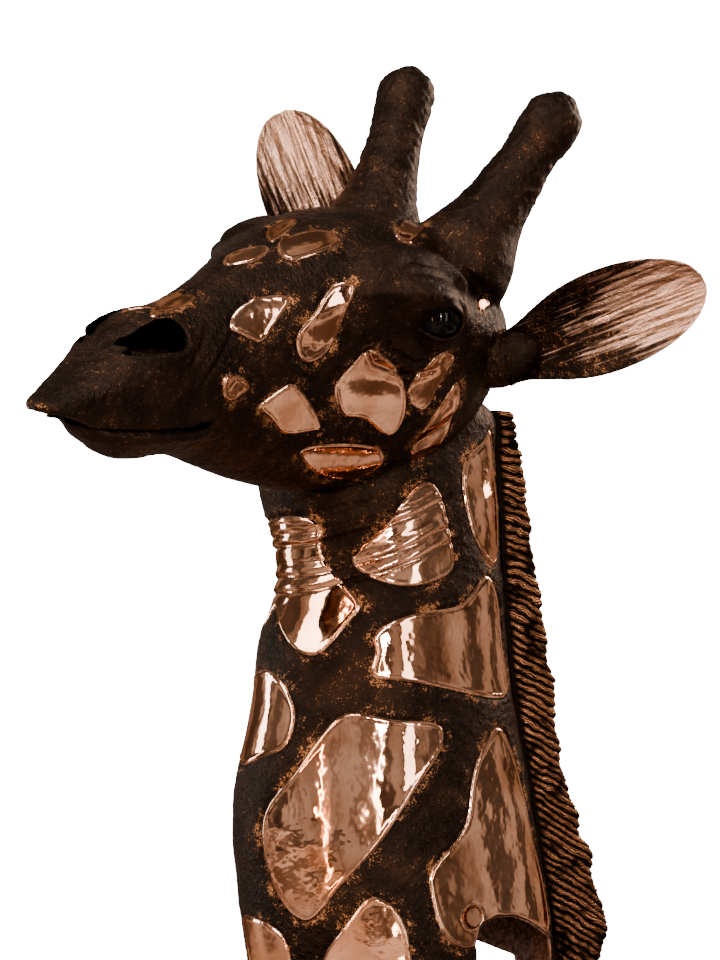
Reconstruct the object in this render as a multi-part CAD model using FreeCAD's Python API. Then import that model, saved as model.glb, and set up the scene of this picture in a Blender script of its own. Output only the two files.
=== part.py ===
"""A life-size bronze giraffe bust: a hollow cast head and neck on a base plate.

The bust faces -Y, its left side is +X and +Z is up. The origin is the centre of the base plate's underside.
The head is drawn in its own frame: x to its left, "forward" from the poll towards the lips, and z up from the line
of the mouth. HEAD_POSE turns that frame, in which forward is -Y, on to the neck.
"""

import FreeCAD
import Part
import math
import os

from FreeCAD import Placement, Rotation, Vector

SIDES = ((1, "left"), (-1, "right"))

# ---- driving dimensions, millimetres and degrees ----
WALL = 6.0
# Lengths of cutting tools: just past a face, and well past the whole casting.
CLEAR_CUT = 1.0
BEYOND = 300.0
BASE_THICKNESS = 14.0

HEAD_ORIGIN = Vector(-11, 16, 560)
HEAD_YAW = 34.0
HEAD_ROLL = 15.0
HEAD_PITCH_DOWN = 2.3

# Profiles of the neck up its height above the base plate: (height, value).
NECK_FRONT = [(14, -156), (60, -160), (120, -169), (175, -174), (235, -168), (290, -156), (360, -147), (400, -133),
              (450, -131), (500, -146), (560, -156), (640, -150)]
NECK_BACK = [(14, 166), (60, 161), (100, 155), (150, 146), (200, 138), (300, 119), (400, 109), (500, 104), (572, 100),
             (640, 93)]
NECK_HALF_WIDTH = [(14, 116), (80, 114), (200, 106), (320, 96), (440, 86), (520, 84), (640, 76)]
# How far back the neck is widest, as a share of its depth, and how it narrows to a wedge behind that.
NECK_WIDEST = 0.45
NECK_WEDGE = 0.18
NECK_JOIN = 318.0
NECK_TOP = 620.0
# The neck closes over behind the poll: its size there as a share of its full section.
NECK_CROWN = [(590, 1.0), (604, 0.9), (614, 0.68), (NECK_TOP, 0.35)]
NECK_STATIONS = [BASE_THICKNESS, 60, 120, 175, 235, 290, 330, 365, 400, 450, 500, 560, 590, 604, 614,
                 NECK_TOP]

# Profiles of the head along its length: (distance forward of the poll, value).
HEAD_TOP = [(-45, 140), (-20, 172), (20, 200), (60, 214), (100, 222), (150, 225), (200, 220), (250, 205), (300, 180),
            (364, 145), (410, 119), (455, 101), (485, 91), (508, 67), (530, 44), (552, 26), (572, 13), (583, 6)]
HEAD_BOTTOM = [(-45, 80), (-20, 20), (20, -20), (60, -40), (110, -52), (170, -56), (250, -53), (320, -44), (380, -32),
               (420, -29), (450, -34), (475, -34), (500, -26), (525, -14), (550, -9), (572, -6), (583, 0)]
HEAD_HALF_WIDTH = [(-45, 40), (-20, 74), (20, 94), (60, 102), (120, 106), (182, 104), (240, 91), (300, 74), (360, 60),
                   (404, 55), (450, 51), (480, 48), (520, 39), (550, 28), (572, 17), (583, 8)]
HEAD_WIDEST = [(-45, 118), (60, 118), (150, 142), (215, 148), (270, 130), (330, 92), (404, 40), (480, 40), (540, 20),
               (583, 5)]
HEAD_TAPER = [(-45, 0.1), (60, 0.22), (182, 0.36), (300, 0.3), (404, 0.1), (583, 0.0)]
HEAD_STATIONS = [-45, -36, -20, 10, 50, 90, 130, 165, 200, 235, 275, 320, 365, 404, 440, 470, 495, 520, 545, 565,
                 583]

# Swellings of the head: (forward, height, reach along, reach up, how far they stand out sideways).
HEAD_SWELLINGS = [
    (204, 160, 54, 26, 35.0),
    (152, 138, 42, 36, 7.0),
    (110, 40, 75, 60, 9.0),
    (482, 74, 32, 24, 5.0),
]
MOUTH_BACK = 404.0
MOUTH_HEIGHT_BACK = 9.0
MOUTH_HEIGHT_FRONT = -12.0
MOUTH_GAP = 3.0
MOUTH_FRONT = 640.0
MOUTH_HALF_WIDTH = 90.0
LOWER_LIP_DEPTH = 120.0

OSSICONE_FOOT = (60, 54, 208)
OSSICONE_TIP = (88, 4, 335)
# Distance up the ossicone from its foot, and its radius there.
OSSICONE_PROFILE = [(-30, 58), (0, 51), (30, 39), (60, 32.5), (95, 28.5), (118, 27.5), (128, 29), (148, 30),
                    (166, 26), (177, 14.5)]
OSSICONE_LENGTH = 182.0

EYE_CENTRE = (113, 167, 136)
EYE_RADIUS = 24.0
EYE_GAP = 0.4

NOSTRIL_CENTRE = (51, 477, 80)
NOSTRIL_SIZE = (14, 29, 11)
NOSTRIL_SLOPE = 28.0

# Each ear: side, foot and tip in the head's frame, and the way its hollow faces.
EARS = {
    "ear_left": ((94, 10, 104), (252, -80, 218), (0.45, 1.0, -0.1)),
    "ear_right": ((-93, 16, 127), (-210, 46, 306), (0.75, 1.0, 0.0)),
}
# Along the ear, as a share of its length: half its width, how deep its hollow is for its width, and its wall.
EAR_HALF_WIDTH = [(0.0, 28), (0.12, 30), (0.25, 41), (0.42, 50), (0.6, 51), (0.76, 45), (0.88, 35), (0.96, 22),
                  (1.0, 8)]
EAR_CUP = [(0.0, 0.9), (0.25, 0.6), (0.6, 0.42), (1.0, 0.3)]
EAR_WALL = 5.0
EAR_RIM_THINNING = 0.45
EAR_RIM_LEAN = 0.985

# The mane's crest and how thick it is, up its height.
MANE_CREST = [(14, 208), (46, 219), (76, 226), (100, 219), (150, 204), (200, 188), (240, 179), (300, 168), (360, 160),
              (400, 156), (450, 147), (521, 136), (580, 129), (606, 118)]
MANE_HALF_THICKNESS = 16.0
# Across the mane: how far from root to crest, and its thickness there as a share of its thickest.
MANE_SHOULDERS = ((0, 0.8), (0.45, 1.0), (0.8, 0.8), (0.95, 0.42))
MANE_SEAT = 12.0
MANE_JOINTS = [BASE_THICKNESS, 160.0, 305.0, 450.0, 595.0]
MANE_STEPS = 5

# Round-topped arches low in each flank, just ahead of the mane: (back of arch, front of arch, top of arch).
ARCHES = {1: (141.0, 36.0, 85.0), -1: (141.0, 36.0, 64.0)}
# The round top of an arch: (distance behind its front edge, height from its top).
ARCH_CROWN = [(0, -26), (8, -8), (26, 0), (50, 0), (70, -6)]
ARCH_BACK_DROP = 22.0
ARCH_BACK_SPLAY = 3.0

# The polished panels laid on the skin. Each is drawn seen square-on, from the azimuth and elevation given, as an
# outline of (across, up) points about the origin, and "depth" is how far its face stands out along that line.
PANEL_THICKNESS = 2.0
PANEL_CUT_IN = 30.0
PANEL_CUT_OUT = 45.0
NECK_PANELS = [
    ("throat_front", 40, 5, 145, [(-82, 466), (-28, 458), (-27, 439), (-18, 416), (12, 383), (5, 359), (-27, 326),
                                 (-70, 354), (-96, 404)]),
    ("throat_back", 95, 0, 75, [(-33, 500), (2, 509), (16, 471), (22, 436), (8, 419), (-30, 408), (-68, 414),
                                (-89, 437), (-58, 468)]),
    ("nape", 125, 0, 78, [(42, 568), (62, 533), (56, 442), (18, 448), (-3, 497), (6, 541)]),
    ("shoulder_high", 110, 5, 102, [(-93, 343), (-78, 365), (-34, 377), (12, 388), (45, 415), (70, 395), (78, 343),
                                    (76, 296), (-1, 296), (-66, 306), (-97, 314)]),
    ("front_high", 20, 10, 195, [(-56, 296), (-21, 292), (2, 270), (10, 245), (3, 219), (-24, 209), (-70, 205),
                                 (-78, 250)]),
    ("flank", 70, 5, 122, [(-102, 226), (-74, 262), (-48, 273), (-5, 267), (34, 265), (37, 240), (14, 204),
                           (-17, 156), (-50, 118), (-73, 93), (-97, 71), (-126, 99), (-140, 143), (-135, 185)]),
    ("rear_low", 115, 5, 108, [(43, 263), (68, 244), (88, 191), (104, 132), (112, 60), (45, 60), (1, 55), (-19, 45),
                               (-48, 56), (-61, 95), (-55, 128), (-15, 166), (3, 220)]),
    ("bottom_mid", 75, 0, 116, [(-38, 107), (-12, 83), (-4, 47), (-12, 18), (-69, 17), (-91, 47), (-70, 80)]),
    ("bottom_front", 20, -5, 145, [(-58, 101), (-13, 92), (5, 74), (8, 45), (-7, 28), (-60, 27), (-70, 65)]),
]
HEAD_PANELS = [
    ("cheek_front", 110, -35, -225, [(-206, 559), (-198, 580), (-178, 599), (-142, 586), (-116, 563), (-101, 531),
                                     (-110, 508), (-152, 525), (-183, 529)]),
    ("cheek_slot", 105, -10, 68, [(-218, 702), (-201, 700), (-205, 677), (-209, 650), (-221, 631), (-245, 625),
                                  (-258, 648), (-242, 672)]),
    ("nose_side", 100, 5, 262, [(-316, 611), (-299, 631), (-271, 642), (-250, 641), (-261, 619), (-280, 596),
                                (-299, 599)]),
    ("lip_spot", 120, -20, -115, [(-375, 570), (-362, 582), (-337, 575), (-343, 562), (-361, 554)]),
    ("cheek_low", 120, -35, -255, [(-312, 509), (-291, 528), (-267, 528), (-219, 497), (-225, 486), (-261, 479),
                                   (-292, 493)]),
    ("jaw", 120, -50, -366, [(-220, 376), (-195, 394), (-134, 401), (-102, 386), (-109, 360), (-163, 352)]),
    ("cheek_leaf", 120, -25, -143, [(-135, 593), (-122, 621), (-102, 630), (-85, 623), (-94, 592), (-104, 565)]),
    ("cheek_back", 125, -35, -253, [(-78, 564), (-52, 530), (-36, 473), (-61, 467), (-85, 481), (-92, 519)]),
    ("temple", 130, 10, 240, [(-80, 653), (-52, 672), (-44, 659), (-57, 647)]),
    ("nose_top", 80, 55, 708, [(-302, 93), (-278, 135), (-254, 135), (-266, 114), (-289, 91)]),
    ("crown", 125, 50, 634, [(-156, 409), (-96, 438), (-99, 418), (-152, 382), (-174, 382)]),
    ("forehead", 80, 45, 677, [(-171, 334), (-150, 357), (-116, 362), (-109, 342), (-133, 321), (-163, 310)]),
    ("nose_bridge", 60, 55, 750, [(-125, 144), (-112, 172), (-85, 174), (-88, 151), (-106, 137)]),
    ("brow_far", 55, 55, 752, [(-66, 187), (-66, 224), (-46, 234), (-45, 210), (-55, 182)]),
]
# Panels found on the seen side only, or once on the middle of the face.
SINGLE_PANELS = ["bottom_mid", "bottom_front", "crown", "forehead", "nose_bridge", "brow_far", "lip_spot", "temple"]

SIDE_BOLT_Y = 33.0
SIDE_BOLT_Z = 86.0
SIDE_BOLT_HEAD = 8.5
SIDE_BOLT_SHANK = 5.0
SIDE_BOLT_GRIP = 22.0
CROSS_BAR = 25.0
CROSS_REACH = 92.0
POST_RADIUS = 30.0
POST_WALL = 4.0
POST_TOP = 430.0
FLANGE = 130.0
FLANGE_THICKNESS = 12.0
FOOT_BOLT_SPACING = 92.0
FOOT_BOLT_RADIUS = 6.0
FOOT_BOLT_HEAD = 9.5
FOOT_BOLT_HEAD_HEIGHT = 8.0
FOOT_BOLT_END = 4.0
BASE_LENGTH = 470.0
BASE_WIDTH = 340.0
BASE_CENTRE_Y = 10.0
BASE_CORNER = 50.0
BASE_HOLE_RADIUS = 5.5
BASE_HOLES_X = 260.0
BASE_HOLES_Y = 390.0


def profile(points, at):
    """A smooth curve through (station, value) points, read at one station."""
    if at <= points[0][0]:
        return points[0][1]
    if at >= points[-1][0]:
        return points[-1][1]
    i = max(k for k in range(len(points) - 1) if points[k][0] <= at)

    def slope(k):
        a, b = points[max(k - 1, 0)], points[min(k + 1, len(points) - 1)]
        return (b[1] - a[1]) / (b[0] - a[0])

    (x0, y0), (x1, y1) = points[i], points[i + 1]
    h = x1 - x0
    t = (at - x0) / h
    return ((2 * t**3 - 3 * t**2 + 1) * y0 + (t**3 - 2 * t**2 + t) * h * slope(i)
            + (3 * t**2 - 2 * t**3) * y1 + (t**3 - t**2) * h * slope(i + 1))


def closed_wire(points):
    """A closed smooth curve. Even knots let the sections of a loft share one light surface."""
    curve = Part.BSplineCurve()
    curve.interpolate(Points=points, PeriodicFlag=True, Parameters=list(range(len(points) + 1)))
    return Part.Wire(curve.toShape())


def loft(sections):
    return Part.makeLoft([closed_wire(s) for s in sections], True, False)


def power(value, exponent):
    return math.copysign(abs(value) ** exponent, value)


def neck_section(height, inset=0.0, count=24):
    front = profile(NECK_FRONT, height) + inset
    back = profile(NECK_BACK, height) - inset
    half = profile(NECK_HALF_WIDTH, height) - inset
    middle = front + NECK_WIDEST * (back - front)
    crown = profile(NECK_CROWN, height)
    points = []
    for i in range(count):
        a = 2 * math.pi * i / count
        s, c = math.sin(a), math.cos(a)
        if c < 0:
            y = middle + (middle - front) * c
            x = half * power(s, 0.94)
        else:
            y = middle + (back - middle) * c
            x = half * s * (1 - NECK_WEDGE * c)
        points.append(Vector(x * crown, middle + (y - middle) * crown, height))
    return points


def swelling(forward, height):
    total = 0.0
    for at, up, reach, rise, amount in HEAD_SWELLINGS:
        d = ((forward - at) / reach) ** 2 + ((height - up) / rise) ** 2
        total += amount * math.exp(-d)
    return total


def head_section(forward, inset=0.0, count=32):
    top = profile(HEAD_TOP, forward) - inset
    bottom = profile(HEAD_BOTTOM, forward) + inset
    half = profile(HEAD_HALF_WIDTH, forward) - inset
    widest = profile(HEAD_WIDEST, forward)
    taper = profile(HEAD_TAPER, forward)
    points = []
    for i in range(count):
        a = 2 * math.pi * i / count
        s, c = math.sin(a), math.cos(a)
        if c > 0:
            z = widest + (top - widest) * power(c, 0.92)
            x = half * power(s, 0.95)
        else:
            z = widest + (widest - bottom) * power(c, 0.85)
            x = half * power(s, 0.92) * (1 + taper * c)
        x += s * swelling(forward, z)
        points.append(Vector(x, -forward, z))
    return points


HEAD_POSE = Placement(HEAD_ORIGIN, Rotation(Vector(0, 0, 1), HEAD_YAW) * Rotation(Vector(0, 1, 0), HEAD_ROLL)
                      * Rotation(Vector(1, 0, 0), HEAD_PITCH_DOWN))


def head_point(x, forward, up):
    return HEAD_POSE.multVec(Vector(x, -forward, up))


def head_direction(x, forward, up):
    return HEAD_POSE.Rotation.multVec(Vector(x, -forward, up))


def in_head(shape):
    shape.Placement = HEAD_POSE.multiply(shape.Placement)
    return shape


def block(low, high):
    return Part.makeBox(high[0] - low[0], high[1] - low[1], high[2] - low[2], Vector(*low))


def ossicone(side):
    foot = head_point(side * OSSICONE_FOOT[0], *OSSICONE_FOOT[1:])
    tip = head_point(side * OSSICONE_TIP[0], *OSSICONE_TIP[1:])
    points = [Vector(r, 0, s) for s, r in OSSICONE_PROFILE] + [Vector(0, 0, OSSICONE_LENGTH)]
    curve = Part.BSplineCurve()
    curve.interpolate(Points=points, InitialTangent=Vector(-0.3, 0, 1), FinalTangent=Vector(-1, 0, 0))
    start, end = points[0], points[-1]
    wire = Part.Wire([curve.toShape(), Part.makeLine(end, Vector(0, 0, start.z)),
                      Part.makeLine(Vector(0, 0, start.z), start)])
    solid = Part.Face(wire).revolve(Vector(0, 0, 0), Vector(0, 0, 1), 360)
    solid.Placement = Placement(foot, Rotation(Vector(0, 0, 1), tip - foot))
    return solid


def ear_section(half, cup, height, wall, count=9):
    """A crescent across the ear, hollow towards +Y."""
    back, front = [], []
    for i in range(count):
        u = -1 + 2 * i / (count - 1)
        depth = cup * half * u * u
        thickness = wall * (1 - EAR_RIM_THINNING * u * u)
        back.append(Vector(half * u, depth - thickness, height))
        front.append(Vector(half * u * EAR_RIM_LEAN, depth, height))
    front.reverse()
    outer, inner = Part.BSplineCurve(), Part.BSplineCurve()
    outer.interpolate(Points=back)
    inner.interpolate(Points=front)
    return Part.Wire([outer.toShape(), Part.makeLine(back[-1], front[0]), inner.toShape(),
                      Part.makeLine(front[-1], back[0])])


def ear(foot, tip, facing):
    start, end = head_point(*foot), head_point(*tip)
    length = (end - start).Length
    wires = []
    for t, half in EAR_HALF_WIDTH:
        wires.append(ear_section(half, profile(EAR_CUP, t), t * length, EAR_WALL))
    solid = Part.makeLoft(wires, True, False)
    along = (end - start).normalize()
    front = head_direction(*facing)
    front = (front - along * front.dot(along)).normalize()
    solid.Placement = Placement(start, Rotation(front.cross(along), front, along, "ZYX"))
    return solid


def mane_section(height):
    root = profile(NECK_BACK, height) - MANE_SEAT
    crest = profile(MANE_CREST, height)
    points = []
    for u, half in MANE_SHOULDERS:
        points.append(Vector(MANE_HALF_THICKNESS * half, root + u * (crest - root), height))
    points.append(Vector(0, crest, height))
    points += [Vector(-p.x, p.y, p.z) for p in reversed(points[:-1])]
    return points


def mane(low, high, neck):
    sections = [mane_section(low + (high - low) * i / MANE_STEPS) for i in range(MANE_STEPS + 1)]
    return loft(sections).cut(neck)


def arch(side):
    back, front, top = ARCHES[side]
    low = BASE_THICKNESS - CLEAR_CUT
    outline = [Vector(0, front, low)]
    outline += [Vector(0, front + behind, top + rise) for behind, rise in ARCH_CROWN]
    outline += [Vector(0, back, top - ARCH_BACK_DROP), Vector(0, back + ARCH_BACK_SPLAY, low)]
    face = Part.Face(Part.makePolygon(outline + outline[:1]))
    return face.extrude(Vector(side * BEYOND, 0, 0))


def half_blocks(low, high):
    return {"left": block((0, -BEYOND, low), (BEYOND, BEYOND, high)),
            "right": block((-BEYOND, -BEYOND, low), (0, BEYOND, high))}


def panel_prism(azimuth, elevation, depth, outline):
    a, e = math.radians(azimuth), math.radians(elevation)
    out = Vector(math.sin(a) * math.cos(e), -math.cos(a) * math.cos(e), math.sin(e))
    across = Vector(math.cos(a), math.sin(a), 0)
    up = out.cross(across)
    points = [across * u + up * v + out * (depth - PANEL_CUT_IN) for u, v in outline]
    return Part.Face(closed_wire(points)).extrude(out * (PANEL_CUT_IN + PANEL_CUT_OUT))


def panel_prisms(panels, middle, sideways):
    made = {}
    for name, azimuth, elevation, depth, outline in panels:
        prism = panel_prism(azimuth, elevation, depth, outline)
        if name in SINGLE_PANELS:
            made[f"panel_{name}"] = prism
        else:
            made[f"panel_{name}_left"] = prism
            made[f"panel_{name}_right"] = prism.mirror(middle, sideways)
    return made


def panels_on(skin, prisms):
    """The panels: pieces of the layer just outside the casting, each cut to its outline."""
    return {name: max(skin.common(prism).Solids, key=lambda p: p.Volume) for name, prism in prisms.items()}


def mouth_slab(above, below):
    """A slab about the line of the mouth, from its corners to beyond the lips."""
    ends = ((MOUTH_BACK, MOUTH_HEIGHT_BACK), (MOUTH_FRONT, MOUTH_HEIGHT_FRONT))
    outline = [Vector(-MOUTH_HALF_WIDTH, -forward, height + above) for forward, height in ends]
    outline += [Vector(-MOUTH_HALF_WIDTH, -forward, height - below) for forward, height in reversed(ends)]
    face = Part.Face(Part.makePolygon(outline + outline[:1]))
    return in_head(face.extrude(Vector(2 * MOUTH_HALF_WIDTH, 0, 0)))


def eye(side, radius):
    ball = Part.makeSphere(radius)
    ball.translate(head_point(side * EYE_CENTRE[0], *EYE_CENTRE[1:]))
    return ball


def nostril(side):
    hole = Part.makeSphere(1.0)
    matrix = FreeCAD.Matrix()
    matrix.scale(*NOSTRIL_SIZE)
    hole = hole.transformGeometry(matrix)
    hole.rotate(Vector(0, 0, 0), Vector(1, 0, 0), NOSTRIL_SLOPE)
    hole.translate(Vector(side * NOSTRIL_CENTRE[0], -NOSTRIL_CENTRE[1], NOSTRIL_CENTRE[2]))
    return in_head(hole)


def base_plate():
    plate = block((-BASE_WIDTH / 2, BASE_CENTRE_Y - BASE_LENGTH / 2, 0),
                  (BASE_WIDTH / 2, BASE_CENTRE_Y + BASE_LENGTH / 2, BASE_THICKNESS))
    upright = [e for e in plate.Edges if e.BoundBox.ZLength > BASE_THICKNESS / 2]
    plate = plate.makeFillet(BASE_CORNER, upright)
    for sx in (1, -1):
        for sy in (1, -1):
            hole = Part.makeCylinder(BASE_HOLE_RADIUS, BASE_THICKNESS,
                                     Vector(sx * BASE_HOLES_X / 2, BASE_CENTRE_Y + sy * BASE_HOLES_Y / 2, 0))
            plate = plate.cut(hole)
    return plate


def frame_parts():
    """The welded steel frame inside the neck, its foot bolts and the holes they need."""
    half = FOOT_BOLT_SPACING / 2
    y = SIDE_BOLT_Y
    top = BASE_THICKNESS + FLANGE_THICKNESS
    flange = block((-FLANGE / 2, y - FLANGE / 2, BASE_THICKNESS), (FLANGE / 2, y + FLANGE / 2, top))
    bolts = []
    holes = []
    for sx, sy in ((1, 1), (1, -1), (-1, 1), (-1, -1)):
        foot = Vector(sx * half, y + sy * half, FOOT_BOLT_END)
        shank = Part.makeCylinder(FOOT_BOLT_RADIUS, top - FOOT_BOLT_END, foot)
        seat = Vector(foot.x, foot.y, top)
        bolts.append(shank.fuse(Part.makeCylinder(FOOT_BOLT_HEAD, FOOT_BOLT_HEAD_HEIGHT, seat)))
        holes.append(shank)
    post = Part.makeCylinder(POST_RADIUS, POST_TOP - top, Vector(0, y, top))
    bore = Part.makeCylinder(POST_RADIUS - POST_WALL, POST_TOP - top, Vector(0, y, top))
    c = CROSS_BAR / 2
    bar = block((-CROSS_REACH, y - c, SIDE_BOLT_Z - c), (CROSS_REACH, y + c, SIDE_BOLT_Z + c))
    return post.cut(bore).fuse([flange.cut(holes), bar]), bolts, holes


def side_bolt(side, neck):
    """A round-headed screw through the neck's wall into the end of the cross bar, dressed off flush."""
    out = Vector(side, 0, 0)
    seat = Vector(side * CROSS_REACH, SIDE_BOLT_Y, SIDE_BOLT_Z)
    head = Part.makeCylinder(SIDE_BOLT_HEAD, BEYOND, seat, out)
    shank = Part.makeCylinder(SIDE_BOLT_SHANK, SIDE_BOLT_GRIP, seat - out * SIDE_BOLT_GRIP, out)
    return head.common(neck).fuse(shank)


def main():
    os.makedirs("parts", exist_ok=True)
    neck = loft([neck_section(z) for z in NECK_STATIONS])
    hollow = loft([neck_section(z, WALL) for z in NECK_STATIONS[:-1]])
    neck_skin = loft([neck_section(z, -PANEL_THICKNESS) for z in NECK_STATIONS])
    head = in_head(loft([head_section(f) for f in HEAD_STATIONS]))
    cavity = in_head(loft([head_section(f, WALL) for f in HEAD_STATIONS[2:-3]]))
    head_skin = in_head(loft([head_section(f, -PANEL_THICKNESS) for f in HEAD_STATIONS]))
    frame, bolts, holes = frame_parts()
    screws = [side_bolt(side, neck_skin) for side in (1, -1)]
    arches = [arch(1), arch(-1)]
    horns = {f"ossicone_{hand}": ossicone(side) for side, hand in SIDES}
    ears = {f"ear_{hand}": ear(*EARS[f"ear_{hand}"]) for side, hand in SIDES}
    openings = [mouth_slab(MOUTH_GAP / 2, MOUTH_GAP / 2)]
    openings += [nostril(side) for side, hand in SIDES] + [eye(side, EYE_RADIUS + EYE_GAP) for side, hand in SIDES]
    made = {}

    shell = neck.cut([hollow, head] + arches + screws)
    for tier, low, high in (("lower", 0, NECK_JOIN), ("upper", NECK_JOIN, NECK_TOP)):
        for hand, half in half_blocks(low, high).items():
            made[f"neck_{tier}_{hand}"] = shell.common(half)
    skin = neck_skin.cut([neck, head_skin] + arches + screws)
    made.update(panels_on(skin, panel_prisms(NECK_PANELS, Vector(0, 0, 0), Vector(1, 0, 0))))

    skull = head.cut([cavity, hollow] + openings)
    below = mouth_slab(-MOUTH_GAP / 2, LOWER_LIP_DEPTH)
    made["lower_lip"] = skull.common(below)
    made["head_shell"] = skull.cut(below)
    skin = head_skin.cut([head, neck] + openings + list(horns.values()) + list(ears.values()))
    made.update(panels_on(skin, panel_prisms(HEAD_PANELS, HEAD_ORIGIN, head_direction(1, 0, 0))))

    for name, shape in list(horns.items()) + list(ears.items()):
        made[name] = shape.cut(head)
    for side, hand in SIDES:
        made[f"eye_{hand}"] = eye(side, EYE_RADIUS)
    for i in range(len(MANE_JOINTS) - 1):
        made[f"mane_{i + 1}"] = mane(MANE_JOINTS[i], MANE_JOINTS[i + 1], neck)
    made["side_bolts"] = Part.makeCompound(screws)
    made["frame"] = frame.cut(screws)
    made["foot_bolts"] = Part.makeCompound(bolts)
    made["base_plate"] = base_plate().cut(holes)
    for name, shape in made.items():
        print(name, shape.isValid(), len(shape.Solids), round(shape.Volume / 1e6, 4))
        shape.exportStep(f"parts/{name}.step")


main()
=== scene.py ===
"""Looks for the bronze giraffe bust: patinated castings, polished spots, ridged mane, ears and eyes.

All lengths are metres in the CAD model's frame unless a name ends in _mm.
"""

import math

import bpy
import numpy as np
from mathutils import Matrix, Vector
from mathutils.bvhtree import BVHTree


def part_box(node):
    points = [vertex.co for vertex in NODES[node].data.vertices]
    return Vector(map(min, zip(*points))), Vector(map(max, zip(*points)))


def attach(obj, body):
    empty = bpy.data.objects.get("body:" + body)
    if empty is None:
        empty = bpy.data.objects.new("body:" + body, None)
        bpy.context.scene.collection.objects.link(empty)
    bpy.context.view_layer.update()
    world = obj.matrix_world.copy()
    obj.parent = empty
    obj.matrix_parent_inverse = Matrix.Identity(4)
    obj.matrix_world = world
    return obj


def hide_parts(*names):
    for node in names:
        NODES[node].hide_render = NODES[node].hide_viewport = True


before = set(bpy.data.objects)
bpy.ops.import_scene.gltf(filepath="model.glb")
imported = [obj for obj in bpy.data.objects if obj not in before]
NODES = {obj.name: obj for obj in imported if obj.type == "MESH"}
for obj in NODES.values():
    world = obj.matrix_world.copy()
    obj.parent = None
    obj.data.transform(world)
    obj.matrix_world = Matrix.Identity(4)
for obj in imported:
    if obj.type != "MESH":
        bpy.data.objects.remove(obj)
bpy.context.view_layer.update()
MM = 0.001

# ---- the castings' surface ----
VOXEL = 0.0017
GROOVE_DEPTH = 0.0016
GROOVE_HALF = 0.0015
RIM_HEIGHT = 0.0007
RIM_AT = 0.0034
RIM_HALF = 0.0016

# ---- the head's own frame, found from the eyes and the lips ----
EYE_FORWARD = 0.167
EYE_UP = 0.136
LIP_FORWARD = 0.583
LIP_UP = 0.004


def box_centre(node):
    low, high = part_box(node)
    return (low + high) / 2


def vertices_of(obj):
    co = np.empty(len(obj.data.vertices) * 3, np.float32)
    obj.data.vertices.foreach_get("co", co)
    return co.reshape(-1, 3).astype(float)


def triangles_of(obj):
    obj.data.calc_loop_triangles()
    tri = np.empty(len(obj.data.loop_triangles) * 3, np.int32)
    obj.data.loop_triangles.foreach_get("vertices", tri)
    return tri.reshape(-1, 3)


def unit(v):
    return v / np.linalg.norm(v)


def head_frame():
    """Origin and the (left, forward, up) axes of the head as rows."""
    left_eye, right_eye = np.array(box_centre("eye_left")), np.array(box_centre("eye_right"))
    middle = (left_eye + right_eye) / 2
    left = unit(left_eye - right_eye)
    shell = vertices_of(NODES["head_shell"])
    lips = shell[np.argmax(np.linalg.norm(shell - middle, axis=1))]
    ahead = unit((lips - middle) - left * np.dot(lips - middle, left))
    drop = math.atan2(EYE_UP - LIP_UP, LIP_FORWARD - EYE_FORWARD)
    across = np.cross(ahead, left)
    across = across if across[2] > 0 else -across
    forward = ahead * math.cos(drop) + across * math.sin(drop)
    up = across * math.cos(drop) - ahead * math.sin(drop)
    origin = middle - forward * EYE_FORWARD - up * EYE_UP
    return origin, np.array([left, forward, up])


HEAD_ORIGIN, HEAD_AXES = head_frame()


def to_head(points):
    return (points - HEAD_ORIGIN) @ HEAD_AXES.T


def from_head(points):
    return np.asarray(points) @ HEAD_AXES + HEAD_ORIGIN


# ---- noise and shaping helpers ----

def lattice(ix, iy, iz, seed):
    h = (ix * 374761393 + iy * 668265263 + iz * 2147483647 + seed * 1274126177) & 0x7FFFFFFF
    h = ((h ^ (h >> 13)) * 1274126177) & 0x7FFFFFFF
    return ((h ^ (h >> 16)) & 0xFFFF) / 32767.5 - 1.0


def noise(points, size, seed=0):
    """Smooth noise from -1 to 1 with features about size metres across."""
    p = points / size
    base = np.floor(p).astype(np.int64)
    f = p - base
    f = f * f * (3 - 2 * f)
    total = 0.0
    for dx in (0, 1):
        wx = f[:, 0] if dx else 1 - f[:, 0]
        for dy in (0, 1):
            wy = f[:, 1] if dy else 1 - f[:, 1]
            for dz in (0, 1):
                wz = f[:, 2] if dz else 1 - f[:, 2]
                corner = lattice(base[:, 0] + dx, base[:, 1] + dy, base[:, 2] + dz, seed)
                total = total + wx * wy * wz * corner
    return total


def bell(x, half):
    return np.exp(-(x / half) ** 2)


def step(x, low, high):
    t = np.clip((x - low) / (high - low), 0, 1)
    return t * t * (3 - 2 * t)


# ---- meshes as arrays ----

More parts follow.
